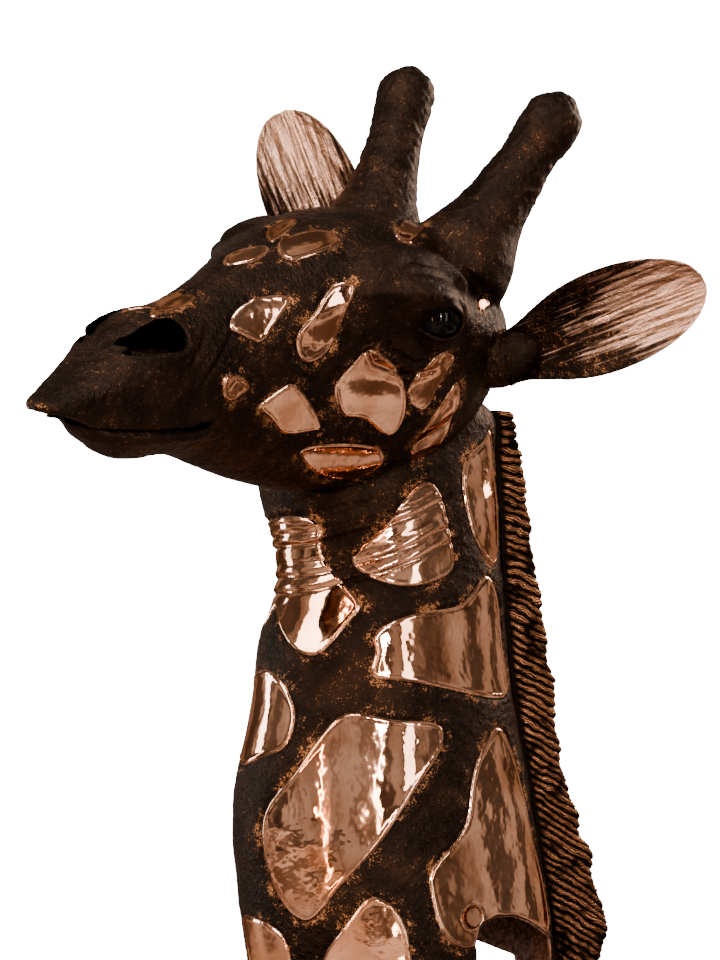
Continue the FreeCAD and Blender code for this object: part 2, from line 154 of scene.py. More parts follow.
class Skin:
    """A mesh as arrays: points, faces (quads) and its edges."""

    def __init__(self, points, faces):
        self.points = points
        self.faces = faces
        self.find_edges()

    def find_edges(self):
        f = self.faces
        e = np.concatenate([f[:, [0, 1]], f[:, [1, 2]], f[:, [2, 3]], f[:, [3, 0]]])
        e.sort(axis=1)
        key = np.unique(e[:, 0].astype(np.int64) * len(self.points) + e[:, 1])
        self.edges = np.stack([key // len(self.points), key % len(self.points)], 1)
        n = len(self.points)
        self.degree = np.maximum(np.bincount(self.edges.ravel(), minlength=n), 1)

    def neighbours_mean(self, values):
        n = len(self.points)
        a, b = self.edges[:, 0], self.edges[:, 1]
        out = np.empty_like(values)
        for k in range(values.shape[1]):
            out[:, k] = np.bincount(a, values[b, k], n) + np.bincount(b, values[a, k], n)
        return out / self.degree[:, None]

    def normals(self):
        p, f = self.points, self.faces
        face = np.cross(p[f[:, 2]] - p[f[:, 0]], p[f[:, 3]] - p[f[:, 1]])
        out = np.zeros_like(p)
        for k in range(3):
            total = sum(np.bincount(f[:, c], face[:, k], len(p)) for c in range(4))
            out[:, k] = total
        return out / np.maximum(np.linalg.norm(out, axis=1), 1e-12)[:, None]

    def smooth(self, weight, rounds):
        for _ in range(rounds):
            lean = self.neighbours_mean(self.points) - self.points
            self.points = self.points + weight[:, None] * lean

    def keep(self, face_mask):
        self.faces = self.faces[face_mask]
        used = np.unique(self.faces)
        index = np.full(len(self.points), -1)
        index[used] = np.arange(len(used))
        self.points = self.points[used]
        self.faces = index[self.faces]
        self.find_edges()
        return used


def new_object(name, points, faces, attributes=None, smooth=True):
    mesh = bpy.data.meshes.new(name)
    mesh.from_pydata([], [], [])
    sizes = faces.shape[1]
    mesh.vertices.add(len(points))
    mesh.vertices.foreach_set("co", np.asarray(points, np.float32).ravel())
    mesh.loops.add(faces.size)
    mesh.loops.foreach_set("vertex_index", faces.astype(np.int32).ravel())
    mesh.polygons.add(len(faces))
    mesh.polygons.foreach_set("loop_start", np.arange(0, faces.size, sizes, dtype=np.int32))
    for key, values in (attributes or {}).items():
        layer = mesh.attributes.new(key, "FLOAT", "POINT")
        layer.data.foreach_set("value", np.asarray(values, np.float32))
    mesh.update(calc_edges=True)
    mesh.validate()
    if smooth:
        mesh.shade_smooth()
    obj = bpy.data.objects.new(name, mesh)
    bpy.context.scene.collection.objects.link(obj)
    return obj


def remeshed(parts, voxel):
    """One even mesh over everything in parts, a list of (points, triangles)."""
    offset, points, faces = 0, [], []
    for p, f in parts:
        points.append(p)
        faces.append(f + offset)
        offset += len(p)
    rough = new_object("rough", np.concatenate(points), np.concatenate(faces), smooth=False)
    modifier = rough.modifiers.new("remesh", "REMESH")
    modifier.mode = "VOXEL"
    modifier.voxel_size = voxel
    bpy.context.view_layer.update()
    made = rough.evaluated_get(bpy.context.evaluated_depsgraph_get()).to_mesh()
    co = np.empty(len(made.vertices) * 3, np.float32)
    made.vertices.foreach_get("co", co)
    corners = np.empty(len(made.loops), np.int32)
    made.loops.foreach_get("vertex_index", corners)
    skin = Skin(co.reshape(-1, 3).astype(float), corners.reshape(-1, 4).astype(np.int64))
    bpy.data.objects.remove(rough)
    return skin


def closed_grid(rows, around):
    """Quads over a grid of rows that close on themselves, with the ends left open."""
    i, j = np.meshgrid(np.arange(rows - 1), np.arange(around), indexing="ij")
    k = (j + 1) % around
    below, above = i * around, (i + 1) * around
    return np.stack([below + j, below + k, above + k, above + j], -1).reshape(-1, 4)


# ---- eyelids: closed shells over each eyeball with an almond opening ----
EYE_LOOKS = np.array([0.80, 0.60, 0.02])
EYE_TILT = 0.06
LID_REACH = math.radians(108)
LID_CORNER = math.radians(66)
LID_LIFT = math.radians(33)
LID_DROP = math.radians(37)
LID_OUTER = 0.0034
LID_INNER = 0.0004
LID_BEAD = 0.0018
LID_BEAD_AT = 0.05
LID_BEAD_HALF = 0.07
LID_AROUND = 120
LID_OUTER_RINGS = 30
LID_INNER_RINGS = 12


def eye_axes(side):
    """Centre, radius and the (look, ahead, upward) directions of one eye."""
    node = "eye_left" if side > 0 else "eye_right"
    low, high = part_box(node)
    look = unit(HEAD_AXES.T @ (EYE_LOOKS * [side, 1, 1]))
    upward = unit(HEAD_AXES[2] - look * np.dot(HEAD_AXES[2], look))
    ahead = np.cross(upward, look)
    ahead = ahead if ahead @ HEAD_AXES[1] > 0 else -ahead
    return np.array(box_centre(node)), (high - low)[0] / 2, look, ahead, upward


def lid_edge(around):
    """How far the almond opening reaches from the line of sight, as an angle."""
    c, s = np.cos(around - EYE_TILT), np.sin(around - EYE_TILT)
    height = np.where(s > 0, LID_LIFT, LID_DROP)
    return 1 / np.sqrt((c / LID_CORNER) ** 2 + (s / height) ** 2)


def lid_shell(side):
    centre, radius, look, ahead, upward = eye_axes(side)
    around = np.linspace(0, 2 * math.pi, LID_AROUND, endpoint=False)
    across = np.cos(around)[:, None] * ahead + np.sin(around)[:, None] * upward
    opening = lid_edge(around)
    rings = []
    for t in np.linspace(0, 1, LID_OUTER_RINGS):
        bead = LID_BEAD * math.exp(-((t - LID_BEAD_AT) / LID_BEAD_HALF) ** 2)
        rings.append((t, radius + LID_OUTER + bead))
    rings += [(t, radius + LID_INNER) for t in np.linspace(1, 0, LID_INNER_RINGS)]
    points = []
    for t, reach in rings:
        polar = (opening + (LID_REACH - opening) * t)[:, None]
        points.append(centre + reach * (np.cos(polar) * look + np.sin(polar) * across))
    grid = closed_grid(len(rings) + 1, len(around))
    grid = np.where(grid >= len(rings) * len(around), grid - len(rings) * len(around), grid)
    return np.concatenate(points), np.concatenate([grid[:, [0, 1, 2]], grid[:, [0, 2, 3]]])


# ---- the cast surface ----
CAST = ["head_shell", "lower_lip", "neck_upper_left", "neck_upper_right", "neck_lower_left",
        "neck_lower_right", "ossicone_left", "ossicone_right"]
PANELS = sorted(n for n in NODES if n.startswith("panel_"))
JOIN_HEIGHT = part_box("neck_lower_left")[1].z
ON_PLANE = 1e-5


def cad_mesh(node):
    """A node's points and triangles; the neck castings come without the faces that meet each other."""
    points, tri = vertices_of(NODES[node]), triangles_of(NODES[node])
    if node.startswith("neck_"):
        corners = points[tri]
        on_middle = (np.abs(corners[:, :, 0]) < ON_PLANE).all(1)
        on_join = (np.abs(corners[:, :, 2] - JOIN_HEIGHT) < ON_PLANE).all(1)
        tri = tri[~(on_middle | on_join)]
    return points, tri


def merged(parts):
    """Several (points, triangles) as one, and which part each triangle came from."""
    sizes = np.cumsum([0] + [len(p) for p, t in parts])
    tri = np.concatenate([t + size for (p, t), size in zip(parts, sizes)])
    source = np.concatenate([np.full(len(t), k) for k, (p, t) in enumerate(parts)])
    return np.concatenate([p for p, t in parts]), tri, source


def tree_over(points, tri):
    return BVHTree.FromPolygons([Vector(p) for p in points], tri.tolist())


def nearest(tree, points):
    """Distance from each point to the tree and the triangle it is nearest to."""
    found = [tree.find_nearest(Vector(p)) for p in points]
    return np.array([f[3] for f in found]), np.array([f[2] for f in found])


# The neck's middle line, as (z, y), and the hollows of the neck and the head.
NECK_AXIS = [(0, 0.004), (0.4, -0.012), (0.62, -0.028)]
NECK_WIDEST = 0.2
ARCHES_SHOW = 0.15
NECK_TOP_IN_HEAD = -0.02
HEAD_HOLLOW = [(0.0, 0.085), (0.175, 0.205), (0.085, 0.115)]
HEAD_HOLLOW_AXIS = 0.08


def on_line(values, line):
    """The line's second number where its first is each of values."""
    return np.interp(values, [p[0] for p in line], [p[1] for p in line])


def without_hidden_walls(skin):
    """Leave out the inner walls nobody can see: all but the low part of the neck that the arches show."""
    normal = skin.normals()
    head = to_head(skin.points)
    z = skin.points[:, 2]
    radial = skin.points[:, :2] - np.stack([np.zeros(len(z)), on_line(z, NECK_AXIS)], 1)
    inward = (radial * normal[:, :2]).sum(1) < 0
    near_axis = np.hypot(radial[:, 0], radial[:, 1]) < NECK_WIDEST
    in_neck = (z > ARCHES_SHOW) & (head[:, 2] < NECK_TOP_IN_HEAD) & near_axis
    around = head - np.stack([np.zeros(len(z)), head[:, 1], np.full(len(z), HEAD_HOLLOW_AXIS)], 1)
    head_normal = normal @ HEAD_AXES.T
    turned_in = (around * head_normal).sum(1) < -0.004
    in_head = np.ones(len(z), bool)
    for k, (middle, half) in enumerate(HEAD_HOLLOW):
        in_head &= np.abs(head[:, k] - middle) < half
    hidden = (in_neck & inward) | (in_head & turned_in)
    skin.keep(~hidden[skin.faces].all(1))


def fillet(skin, weight, rounds):
    """Soften the inner corners where castings meet."""
    for _ in range(rounds):
        hollow = np.clip(hollowness(skin) / 0.15, 0, 1)
        spread = skin.neighbours_mean(skin.neighbours_mean(hollow[:, None]))[:, 0]
        pull = np.clip(hollow + 1.5 * spread, 0, 1) * weight * 0.7
        skin.smooth(pull, 1)


def hollowness(skin):
    """Positive in hollows and negative on ridges, about 1 for the sharpest."""
    lean = skin.neighbours_mean(skin.points) - skin.points
    return np.einsum("ij,ij->i", lean, skin.normals()) / (0.35 * VOXEL)


def near_eye(points):
    """Distance from each point to the nearer eye's centre."""
    gaps = [np.linalg.norm(points - eye_axes(side)[0], axis=1) for side in (1, -1)]
    return np.minimum(*gaps)


# ---- the roots the ears grow from, and the ossicones' feet ----
# Foot, tip and the way the hollow faces, in the head's frame (left, forward, up), metres.
EARS = {
    "ear_left": ((0.094, 0.010, 0.104), (0.252, -0.080, 0.218), (0.45, 1.0, -0.1)),
    "ear_right": ((-0.093, 0.016, 0.127), (-0.210, 0.046, 0.306), (0.75, 1.0, 0.0)),
}
EAR_ROOT_HALF = 0.0275
EAR_ROOT_LENGTH = 0.040
EAR_ROOT_FORWARD = 0.010
EAR_ROOT_FLATNESS = 0.85
EAR_ROOT_ROWS = 24
EAR_ROOT_AROUND = 48
HORN_FOOT = np.array([0.055, 0.062, 0.182])
HORN_AXIS = unit(np.array([0.028, -0.050, 0.127]))
HORN_FOOT_RADIUS = 0.056


def capped_tube(rows, around):
    """Triangles over closed_grid's rows, with both ends filled by fans."""
    grid = closed_grid(rows, around)
    spokes = np.arange(1, around - 1)
    first = np.stack([np.zeros_like(spokes), spokes, spokes + 1], 1)
    last = first[:, ::-1] + (rows - 1) * around
    return np.concatenate([grid[:, [0, 1, 2]], grid[:, [0, 2, 3]], first, last])


def ear_root(node):
    """A smooth knuckle round an ear's foot, which the fillets blend into the head."""
    foot, tip, facing = (np.array(v) for v in EARS[node])
    along = unit(tip - foot)
    side = unit(np.cross(along, facing))
    front = np.cross(side, along)
    around = np.linspace(0, 2 * math.pi, EAR_ROOT_AROUND, endpoint=False)
    ring = np.cos(around)[:, None] * side + EAR_ROOT_FLATNESS * np.sin(around)[:, None] * front
    centre = foot + EAR_ROOT_FORWARD * front
    points = []
    for k in range(EAR_ROOT_ROWS):
        polar = math.pi * (k + 0.05) / (EAR_ROOT_ROWS - 0.9)
        middle = centre + along * EAR_ROOT_LENGTH * math.cos(polar)
        points.append(middle + ring * EAR_ROOT_HALF * math.sin(polar))
    return from_head(np.concatenate(points)), capped_tube(EAR_ROOT_ROWS, EAR_ROOT_AROUND)


def near_horn_feet(head):
    """Distance to the rim of the nearer ossicone's foot."""
    local = np.abs(head * [1, 0, 0]) + head * [0, 1, 1] - HORN_FOOT
    up = local @ HORN_AXIS
    radial = np.linalg.norm(local - up[:, None] * HORN_AXIS, axis=1)
    return np.hypot(radial - HORN_FOOT_RADIUS, up)


FILLET_ROUNDS = 26
HORN_FOOT_ROUNDS = 70


def cast_skin():
    extra = [lid_shell(1), lid_shell(-1)] + [ear_root(node) for node in EARS]
    skin = remeshed([cad_mesh(n) for n in CAST] + extra, VOXEL)
    without_hidden_walls(skin)
    skin.smooth(np.full(len(skin.points), 0.5), 2)
    head = to_head(skin.points)
    eye = near_eye(skin.points)
    at_horns = step(head[:, 2], 0.150, 0.180) * (1 - step(head[:, 2], 0.275, 0.30))
    at_horns = at_horns * (1 - step(head[:, 1], 0.13, 0.16))
    at_lids = step(eye, 0.0285, 0.031) * (1 - step(eye, 0.045, 0.055))
    at_neck = bell(head[:, 2] + 0.01, 0.05) * (1 - step(head[:, 1], 0.24, 0.28))
    at_ears = bell(np.minimum(*[np.linalg.norm(head - EARS[node][0], axis=1) for node in EARS]), 0.040)
    fillet(skin, np.clip(at_horns + at_lids + at_ears + 0.5 * at_neck, 0, 1), FILLET_ROUNDS)
    at_feet = step(bell(near_horn_feet(head), 0.021), 0.1, 0.6) * step(eye, 0.034, 0.044)
    skin.smooth(0.8 * at_feet, HORN_FOOT_ROUNDS)
    return skin


# ---- panel outlines on the skin ----
PANEL_LAYER = 0.002
OUTLINE_REACH = 0.030
OUTLINE_ROUNDS = 6
NEAR_PANEL = 0.004


def panel_edges(skin, cast_tree):
    """How far inside a panel's outline each point of the skin is, negative outside, and which panel."""
    inside = np.full(len(skin.points), -OUTLINE_REACH)
    owner = np.full(len(skin.points), -1)
    lifted = skin.points + skin.normals() * PANEL_LAYER / 2
    for index, name in enumerate(PANELS):
        points, tri = vertices_of(NODES[name]), triangles_of(NODES[name])
        height = nearest(cast_tree, points)[0][tri]
        wall = (height.min(1) < 0.35 * PANEL_LAYER) & (height.max(1) > 0.65 * PANEL_LAYER)
        corners = points[tri]
        outward = np.cross(corners[:, 1] - corners[:, 0], corners[:, 2] - corners[:, 0])
        walls, whole = tree_over(points, tri[wall]), tree_over(points, tri)
        low, high = points.min(0) - OUTLINE_REACH, points.max(0) + OUTLINE_REACH
        close = np.where(((lifted > low) & (lifted < high)).all(1))[0]
        for k in close:
            p = Vector(lifted[k])
            side = walls.find_nearest(p, OUTLINE_REACH)
            at, _, triangle, gap = whole.find_nearest(p)
            within = gap < NEAR_PANEL and (p - at).dot(Vector(outward[triangle])) < 0
            distance = OUTLINE_REACH if side[0] is None else side[3]
            value = distance if within else -distance
            if value > inside[k]:
                inside[k] = value
                owner[k] = index
    for _ in range(OUTLINE_ROUNDS):
        inside = 0.5 * inside + 0.5 * skin.neighbours_mean(inside[:, None])[:, 0]
    return inside, owner


# ---- sculpting: heights added along the skin's normal, in the head's frame ----
# Lines on the side of the face as (forward, up), metres.
MOUTH = [(0.385, 0.012), (0.394, 0.010), (0.422, 0.003), (0.457, -0.001), (0.503, -0.005),
         (0.528, -0.007), (0.548, -0.004), (0.571, 0.0), (0.59, 0.002)]
NOSTRIL = [(0.509, 0.065), (0.497, 0.0715), (0.480, 0.079), (0.465, 0.0835), (0.454, 0.086)]
NOSTRIL_HALF = [0.0015, 0.0045, 0.0085, 0.011, 0.011]
NOSTRIL_DEPTH = 0.009
FOLDS = [
    [(0.457, 0.050), (0.440, 0.064), (0.425, 0.082), (0.408, 0.108)],
    [(0.430, 0.040), (0.412, 0.062), (0.396, 0.085), (0.380, 0.118)],
    [(0.400, 0.032), (0.385, 0.055), (0.370, 0.082)],
]
BROW = [(0.262, 0.166), (0.242, 0.184), (0.205, 0.194), (0.160, 0.192), (0.125, 0.180),
        (0.112, 0.160)]
CHEEK_BONE = [(0.120, 0.098), (0.180, 0.092), (0.240, 0.084), (0.300, 0.074), (0.360, 0.062)]
EYE_BAGS = [
    [(0.228, 0.120), (0.205, 0.100), (0.170, 0.092), (0.135, 0.104)],
    [(0.245, 0.112), (0.215, 0.086), (0.170, 0.078), (0.125, 0.090)],
]
JAW = [(0.300, -0.012), (0.230, -0.014), (0.160, -0.008), (0.100, 0.010), (0.060, 0.045), (0.050, 0.090)]


def line_gap(points2, line, halves=None):
    """Distance to a polyline, less its half width there, and how far along it, from 0 to 1."""
    line = np.asarray(line)
    best = np.full(len(points2), np.inf)
    along = np.zeros(len(points2))
    for k in range(len(line) - 1):
        a, d = line[k], line[k + 1] - line[k]
        t = np.clip(((points2 - a) @ d) / (d @ d), 0, 1)
        gap = np.linalg.norm(points2 - a - t[:, None] * d, axis=1)
        half = halves[k] + (halves[k + 1] - halves[k]) * t if halves else np.zeros(len(t))
        closer = gap - half < best
        best = np.where(closer, gap - half, best)
        along = np.where(closer, (k + t) / (len(line) - 1), along)
    return best, along


def ends_faded(along, share=0.2):
    return step(along, 0, share) * (1 - step(along, 1 - share, 1))


def mouth_height(head):
    f, u = head[:, 1], head[:, 2]
    gap = u - on_line(f, MOUTH)
    on_lips = step(f, 0.389, 0.399)
    half = 0.0017 + 0.0028 * bell(f - 0.408, 0.014) + 0.0024 * bell(f - 0.556, 0.015)
    groove = -0.0065 * bell(gap, half) * on_lips
    upper = 0.0026 * bell(gap - 0.0075, 0.0052) * on_lips
    lower = 0.0034 * bell(gap + 0.0085, 0.0065) * on_lips * (1 - step(f, 0.54, 0.57))
    chin = 0.0022 * bell(gap + 0.024, 0.012) * bell(f - 0.475, 0.05)
    corner = -0.0020 * bell(np.hypot(f - 0.388, u - 0.010), 0.010)
    return groove + upper + lower + chin + corner


def nostril_height(head):
    gap, along = line_gap(head[:, 1:], NOSTRIL, NOSTRIL_HALF)
    hole = -NOSTRIL_DEPTH * (1 - step(gap, -0.0045, 0.0008)) * step(along, -0.2, 0.30)
    rim = 0.0019 * bell(gap - 0.0035, 0.0026) * (0.35 + 0.65 * step(along, 0.35, 0.95))
    return hole + rim


def painted_pit_shade(head):
    """Painted shade: 1 inside the nostrils and between the lips, where no light reaches, which the bronze
    paints black.
    """
    nostril = 1 - step(line_gap(head[:, 1:], NOSTRIL, NOSTRIL_HALF)[0], -0.0012, 0.0008)
    f = head[:, 1]
    mouth_gap = np.abs(head[:, 2] - on_line(f, MOUTH))
    half = 0.0012 + 0.0030 * bell(f - 0.408, 0.016) + 0.0026 * bell(f - 0.556, 0.016)
    lips = (1 - step(mouth_gap, half * 0.7, half * 1.3)) * step(f, 0.388, 0.394)
    on_snout = step(f, 0.37, 0.38) * step(np.abs(head[:, 0]), 0.002, 0.006)
    return np.maximum(nostril, lips) * on_snout


WRINKLE_DEPTH = 0.00035
WRINKLE_PITCH = 0.0095


def snout_height(head):
    """The nose pad and its fine wrinkles."""
    f, u = head[:, 1], head[:, 2]
    pad = 0.0015 * bell(f - 0.555, 0.012) * step(u, 0.010, 0.03)
    wrinkles = WRINKLE_DEPTH * np.sin(2 * math.pi * (f + 0.25 * u) / WRINKLE_PITCH)
    return pad + wrinkles * bell(f - 0.545, 0.022) * step(u, 0.006, 0.02)


def fold_height(head):
    total = np.zeros(len(head))
    for k, line in enumerate(FOLDS):
        gap, along = line_gap(head[:, 1:], line)
        beside = line_gap(head[:, 1:] + [0.0, -0.0065], line)[0]
        fold = -0.0026 * bell(gap, 0.0030) + 0.0018 * bell(beside, 0.0050)
        total += ends_faded(along, 0.3) * fold * (1 - 0.22 * k)
    for line in EYE_BAGS:
        gap, along = line_gap(head[:, 1:], line)
        bag = -0.0020 * bell(gap, 0.0028) + 0.0012 * bell(gap - 0.005, 0.004)
        total += ends_faded(along, 0.3) * bag
    return total


def bone_height(head):
    brow, along = line_gap(head[:, 1:], BROW)
    cheek, along_cheek = line_gap(head[:, 1:], CHEEK_BONE)
    jaw, along_jaw = line_gap(head[:, 1:], JAW)
    ridge = 0.0062 * bell(brow, 0.0080) * ends_faded(along, 0.12)
    under = -0.0040 * bell(brow - 0.0115, 0.006) * ends_faded(along, 0.12)
    return (ridge + under + 0.0030 * bell(cheek, 0.014) * ends_faded(along_cheek)
            - 0.0030 * bell(jaw, 0.011) * ends_faded(along_jaw))


# Creases round the throat: where the lowest one runs, as (y, z), and how far apart they are.
THROAT = [(-0.20, 0.398), (-0.122, 0.404), (-0.092, 0.412), (-0.056, 0.419), (-0.015, 0.434),
          (0.03, 0.458), (0.2, 0.56)]
THROAT_PITCH = 0.0145
THROAT_CREASES = 6


def throat_height(points):
    y, z = points[:, 1], points[:, 2]
    lowest = on_line(y, THROAT)
    drift = 0.0035 * noise(points * [1, 1, 0.4], 0.045, 11)
    fade = (1 - step(y, -0.01, 0.05)) * (1 - step(z, 0.50, 0.53))
    total = np.zeros(len(points))
    for k in range(THROAT_CREASES):
        gap = z + drift - lowest - THROAT_PITCH * (k + 0.12 * math.sin(9.0 * k))
        depth = 0.0017 + 0.0012 * math.sin(2.3 * k + 0.5)
        total += -depth * bell(gap, 0.0022) + 0.6 * depth * bell(gap - 0.0052, 0.0040)
    return total * fade


def orbit_height(points, head):
    """The socket's bulge behind each eye, so the lids grow out of the head."""
    f, u = head[:, 1], head[:, 2]
    side = step(np.abs(head[:, 0]), 0.07, 0.09)
    bulge = 0.0050 * bell(f - 0.128, 0.026) * bell(u - 0.138, 0.028) * side
    return bulge * step(near_eye(points), 0.029, 0.040)


def sculpted_height(points):
    head = to_head(points)
    from_origin = np.linalg.norm(points - HEAD_ORIGIN, axis=1)
    on_head = step(head[:, 2], -0.060, -0.040) * step(from_origin, 0.02, 0.05)
    face = on_head * (1 - step(head[:, 2], 0.215, 0.24))
    not_eye = step(near_eye(points), 0.0285, 0.034)
    height = face * (mouth_height(head) + nostril_height(head) + snout_height(head))
    height += face * not_eye * (fold_height(head) + bone_height(head) + orbit_height(points, head))
    neck = 1 - step(head[:, 2], -0.045, -0.030)
    return height + neck * throat_height(points)


def surface_height(points, edge):
    """Slow waves everywhere, stippling on the dark metal only and coarser on the ossicones."""
    horn = step(to_head(points)[:, 2], 0.225, 0.250)
    knobs = horn * (0.0009 * noise(points, 0.0050, 6) + 0.0008 * noise(points, 0.0095, 7))
    dark = 1 - step(edge, 0.0, 0.002)
    calm = step(near_eye(points), 0.029, 0.036)
    waves = 0.0010 * noise(points, 0.060, 1) + 0.00055 * noise(points, 0.026, 2)
    stipple = 0.0003 * (noise(points, 0.0042, 3) + noise(points, 0.0070, 4) + noise(points, 0.013, 5))
    return calm * (waves * (0.6 + 0.4 * dark) + dark * (stipple + knobs))


# ---- bolts through the skin are ringed like the panels ----
BOLT_RING = 0.0092
BOLT_EDGE = 0.0010
SIDES_FROM = 0.08


def ring_bolts(points, edge):
    low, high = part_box("side_bolts")
    middle = (low + high) / 2
    gap = np.hypot(points[:, 1] - middle.y, points[:, 2] - middle.z) - BOLT_RING
    ringed = np.minimum(edge, np.maximum(gap, -BOLT_EDGE))
    return np.where(np.abs(points[:, 0]) > SIDES_FROM, ringed, edge)


def raw_cut(points, normal):
    """1 on the sawn edges and the inside of the neck at the arches."""
    out = (points * normal)[:, :2].sum(1) / np.maximum(np.hypot(points[:, 0], points[:, 1]), 1e-6)
    by_arches = (1 - step(points[:, 2], 0.088, 0.10)) * step(points[:, 1], 0.020, 0.030)
    return (1 - step(out, 0.45, 0.65)) * by_arches


def build_castings(materials):
    skin = cast_skin()
    points, tri, source = merged([cad_mesh(n) for n in CAST])
    cast_tree = tree_over(points, tri)
    edge, owner = panel_edges(skin, cast_tree)
    edge = ring_bolts(skin.points, edge)
    near = source[nearest(cast_tree, skin.points)[1]]
    raw = raw_cut(skin.points, skin.normals())
    # painted shade: a mask that blackens the nostrils and the gap between the lips
    pit_shade = painted_pit_shade(to_head(skin.points))
    rim = RIM_HEIGHT * bell(edge - RIM_AT, RIM_HALF)
    groove = GROOVE_DEPTH * bell(edge, GROOVE_HALF)
    height = sculpted_height(skin.points) + rim - groove
    height += surface_height(skin.points, edge) * (1 - raw)
    skin.points = skin.points + skin.normals() * height[:, None]
    skin.smooth(np.full(len(skin.points), 0.25), 1)
    normals = skin.normals()
    wear = -hollowness(skin)
    for _ in range(2):
        wear = skin.neighbours_mean(wear[:, None])[:, 0]
    face_edge = edge[skin.faces].mean(1)
    panel = np.where(face_edge > 0, owner[skin.faces[:, 0]], -1)
    panel = np.where((panel < 0) & (face_edge > 0), owner[skin.faces].max(1), panel)
    cast = near[skin.faces[:, 0]]
    jobs = [(PANELS[k], "polished_bronze", panel == k) for k in range(len(PANELS))]
    jobs += [(CAST[k], "dark_bronze", (panel < 0) & (cast == k)) for k in range(len(CAST))]
    for name, slot, mask in jobs:
        if not mask.any():
            continue
        used, index = np.unique(skin.faces[mask], return_inverse=True)
        attributes = {"edge_mm": edge[used] / MM, "wear": wear[used], "raw": raw[used], "pit_shade": pit_shade[used]}
        made = new_object(f"cast_{name}", skin.points[used], index.reshape(-1, 4), attributes)
        made.data.normals_split_custom_set_from_vertices(normals[used].tolist())
        finish(made, materials[slot], name)


def finish(made, material, cad_node):
    made.data.materials.append(material)
    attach(made, "root")
    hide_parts(cad_node)


# ---- the mane: a crest of overlapping locks ----
MANE = sorted(n for n in NODES if n.startswith("mane_"))
LOCK_PITCH = 0.0088
LOCK_DEPTH = 0.0042
MANE_ROW = 0.0008
MANE_AROUND = 110
MANE_TURN = 2.55
MANE_END = 0.0003
STRANDS_PER_LOCK = 4.0
STRAND_DEPTH = 0.0011


def mane_lean(z):
    """How steeply the locks fall away from the neck, less towards the poll."""
    return np.interp(z, [0.05, 0.30, 0.50, 0.60], [0.62, 0.50, 0.22, 0.05])


def mane_segment(node, materials):
    low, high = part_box(node)
    tree = tree_over(vertices_of(NODES[node]), triangles_of(NODES[node]))
    heights = np.linspace(low.z, high.z, int((high.z - low.z) / MANE_ROW) + 2)
    angles = np.linspace(-MANE_TURN, MANE_TURN, MANE_AROUND)
    points, reach = [], []
    for z in np.clip(heights, low.z + MANE_END, high.z - MANE_END):
        inner = tree.ray_cast(Vector((0, 0.0, z)), Vector((0, 1, 0)))[0]
        crest = tree.ray_cast(Vector((0, 0.4, z)), Vector((0, -1, 0)))[0]
        hub = Vector((0, inner.y + 0.35 * (crest.y - inner.y), z))
        for a in angles:
            way = Vector((math.sin(a), math.cos(a), 0))
            hit = tree.ray_cast(hub + way * 0.3, -way)[0] or hub
            points.append(hit)
            reach.append(hit.y - inner.y)
    points, reach = np.array(points), np.array(reach)
    points[:, 2] = np.repeat(heights, MANE_AROUND)
    z = points[:, 2]
    wander = 0.0022 * noise(points, 0.018, 21) + 0.0014 * noise(points, 0.007, 22)
    side = np.sign(points[:, 0])
    phase = (z + mane_lean(z) * reach + wander) / LOCK_PITCH + 0.23 * side
    lock = np.abs(np.sin(math.pi * phase)) ** 0.55
    number = np.floor(phase)
    length = np.sin(number * 12.9898 + 4.1) * 0.5 + np.sin(number * 4.7 + 1.3) * 0.5
    strand_phase = phase * STRANDS_PER_LOCK + 1.2 * noise(points, 0.010, 23)
    strands = 0.5 + 0.5 * np.cos(2 * math.pi * strand_phase)
    crest = 1 - step(np.tile(np.abs(angles), len(heights)), 0.15, 0.9)
    root = step(reach, 0.000, 0.006)
    level = points * [0.2, 0.2, 1]
    clump = noise(level, 0.021, 24) + 0.6 * noise(level, 0.045, 25)
    height = -LOCK_DEPTH * (1 - lock) * root - STRAND_DEPTH * (1 - strands) * root
    height += (0.0026 * length + 0.0040 * np.clip(clump, -1.2, 0.6)) * crest
    centre = np.stack([np.zeros(len(z)), points[:, 1] - reach * 0.45, z], 1)
    away = points - centre
    away /= np.maximum(np.linalg.norm(away, axis=1), 1e-6)[:, None]
    points = points + away * height[:, None]
    i, j = np.meshgrid(np.arange(len(heights) - 1), np.arange(MANE_AROUND - 1), indexing="ij")
    below, above = i * MANE_AROUND + j, (i + 1) * MANE_AROUND + j
    faces = np.stack([below, above, above + 1, below + 1], -1)
    attributes = {"ridge": lock * (0.45 + 0.55 * strands), "reach_mm": reach / MM}
    made = new_object(f"locks_{node}", points, faces.reshape(-1, 4), attributes)
    finish(made, materials["mane_bronze"], node)


# ---- the ears ----
EAR_VOXEL = 0.0012


def build_ear(node, materials):
    foot, tip, facing = (np.array(v) for v in EARS[node])
    skin = remeshed([cad_mesh(node)], EAR_VOXEL)
    skin.smooth(np.full(len(skin.points), 0.5), 2)
    local = to_head(skin.points) - foot
    along = unit(tip - foot)
    front = unit(facing - along * (facing @ along))
    across = np.cross(front, along)
    t = (local @ along) / np.linalg.norm(tip - foot)
    u = local @ across
    normal = skin.normals()
    inner = step(normal @ HEAD_AXES.T @ front, 0.1, 0.5)
    fan = np.stack([u / (0.35 + np.sin(np.clip(t, 0.02, 1) * math.pi)), 0.020 * t, 0 * t], 1)
    hair = noise(fan, 0.0050, 31) * 0.0006 + noise(fan, 0.0026, 32) * 0.0003
    height = hair * (0.35 + 0.65 * inner) + 0.0008 * noise(fan, 0.013, 33)
    rib = 0.0016 * bell(u, 0.0035) * inner * (1 - step(t, 0.5, 0.9))
    skin.points = skin.points + normal * (height + rib)[:, None]
    values = {"along": t, "across_mm": u / MM, "inner": inner, "wear": -hollowness(skin)}
    made = new_object(f"leaf_{node}", skin.points, skin.faces, values)
    finish(made, materials["ear_bronze"], node)


# ---- the eyes ----
EYE_AROUND = 96
EYE_ROWS = 72
CORNEA_SWELL = 0.028
CORNEA_HALF = 0.42


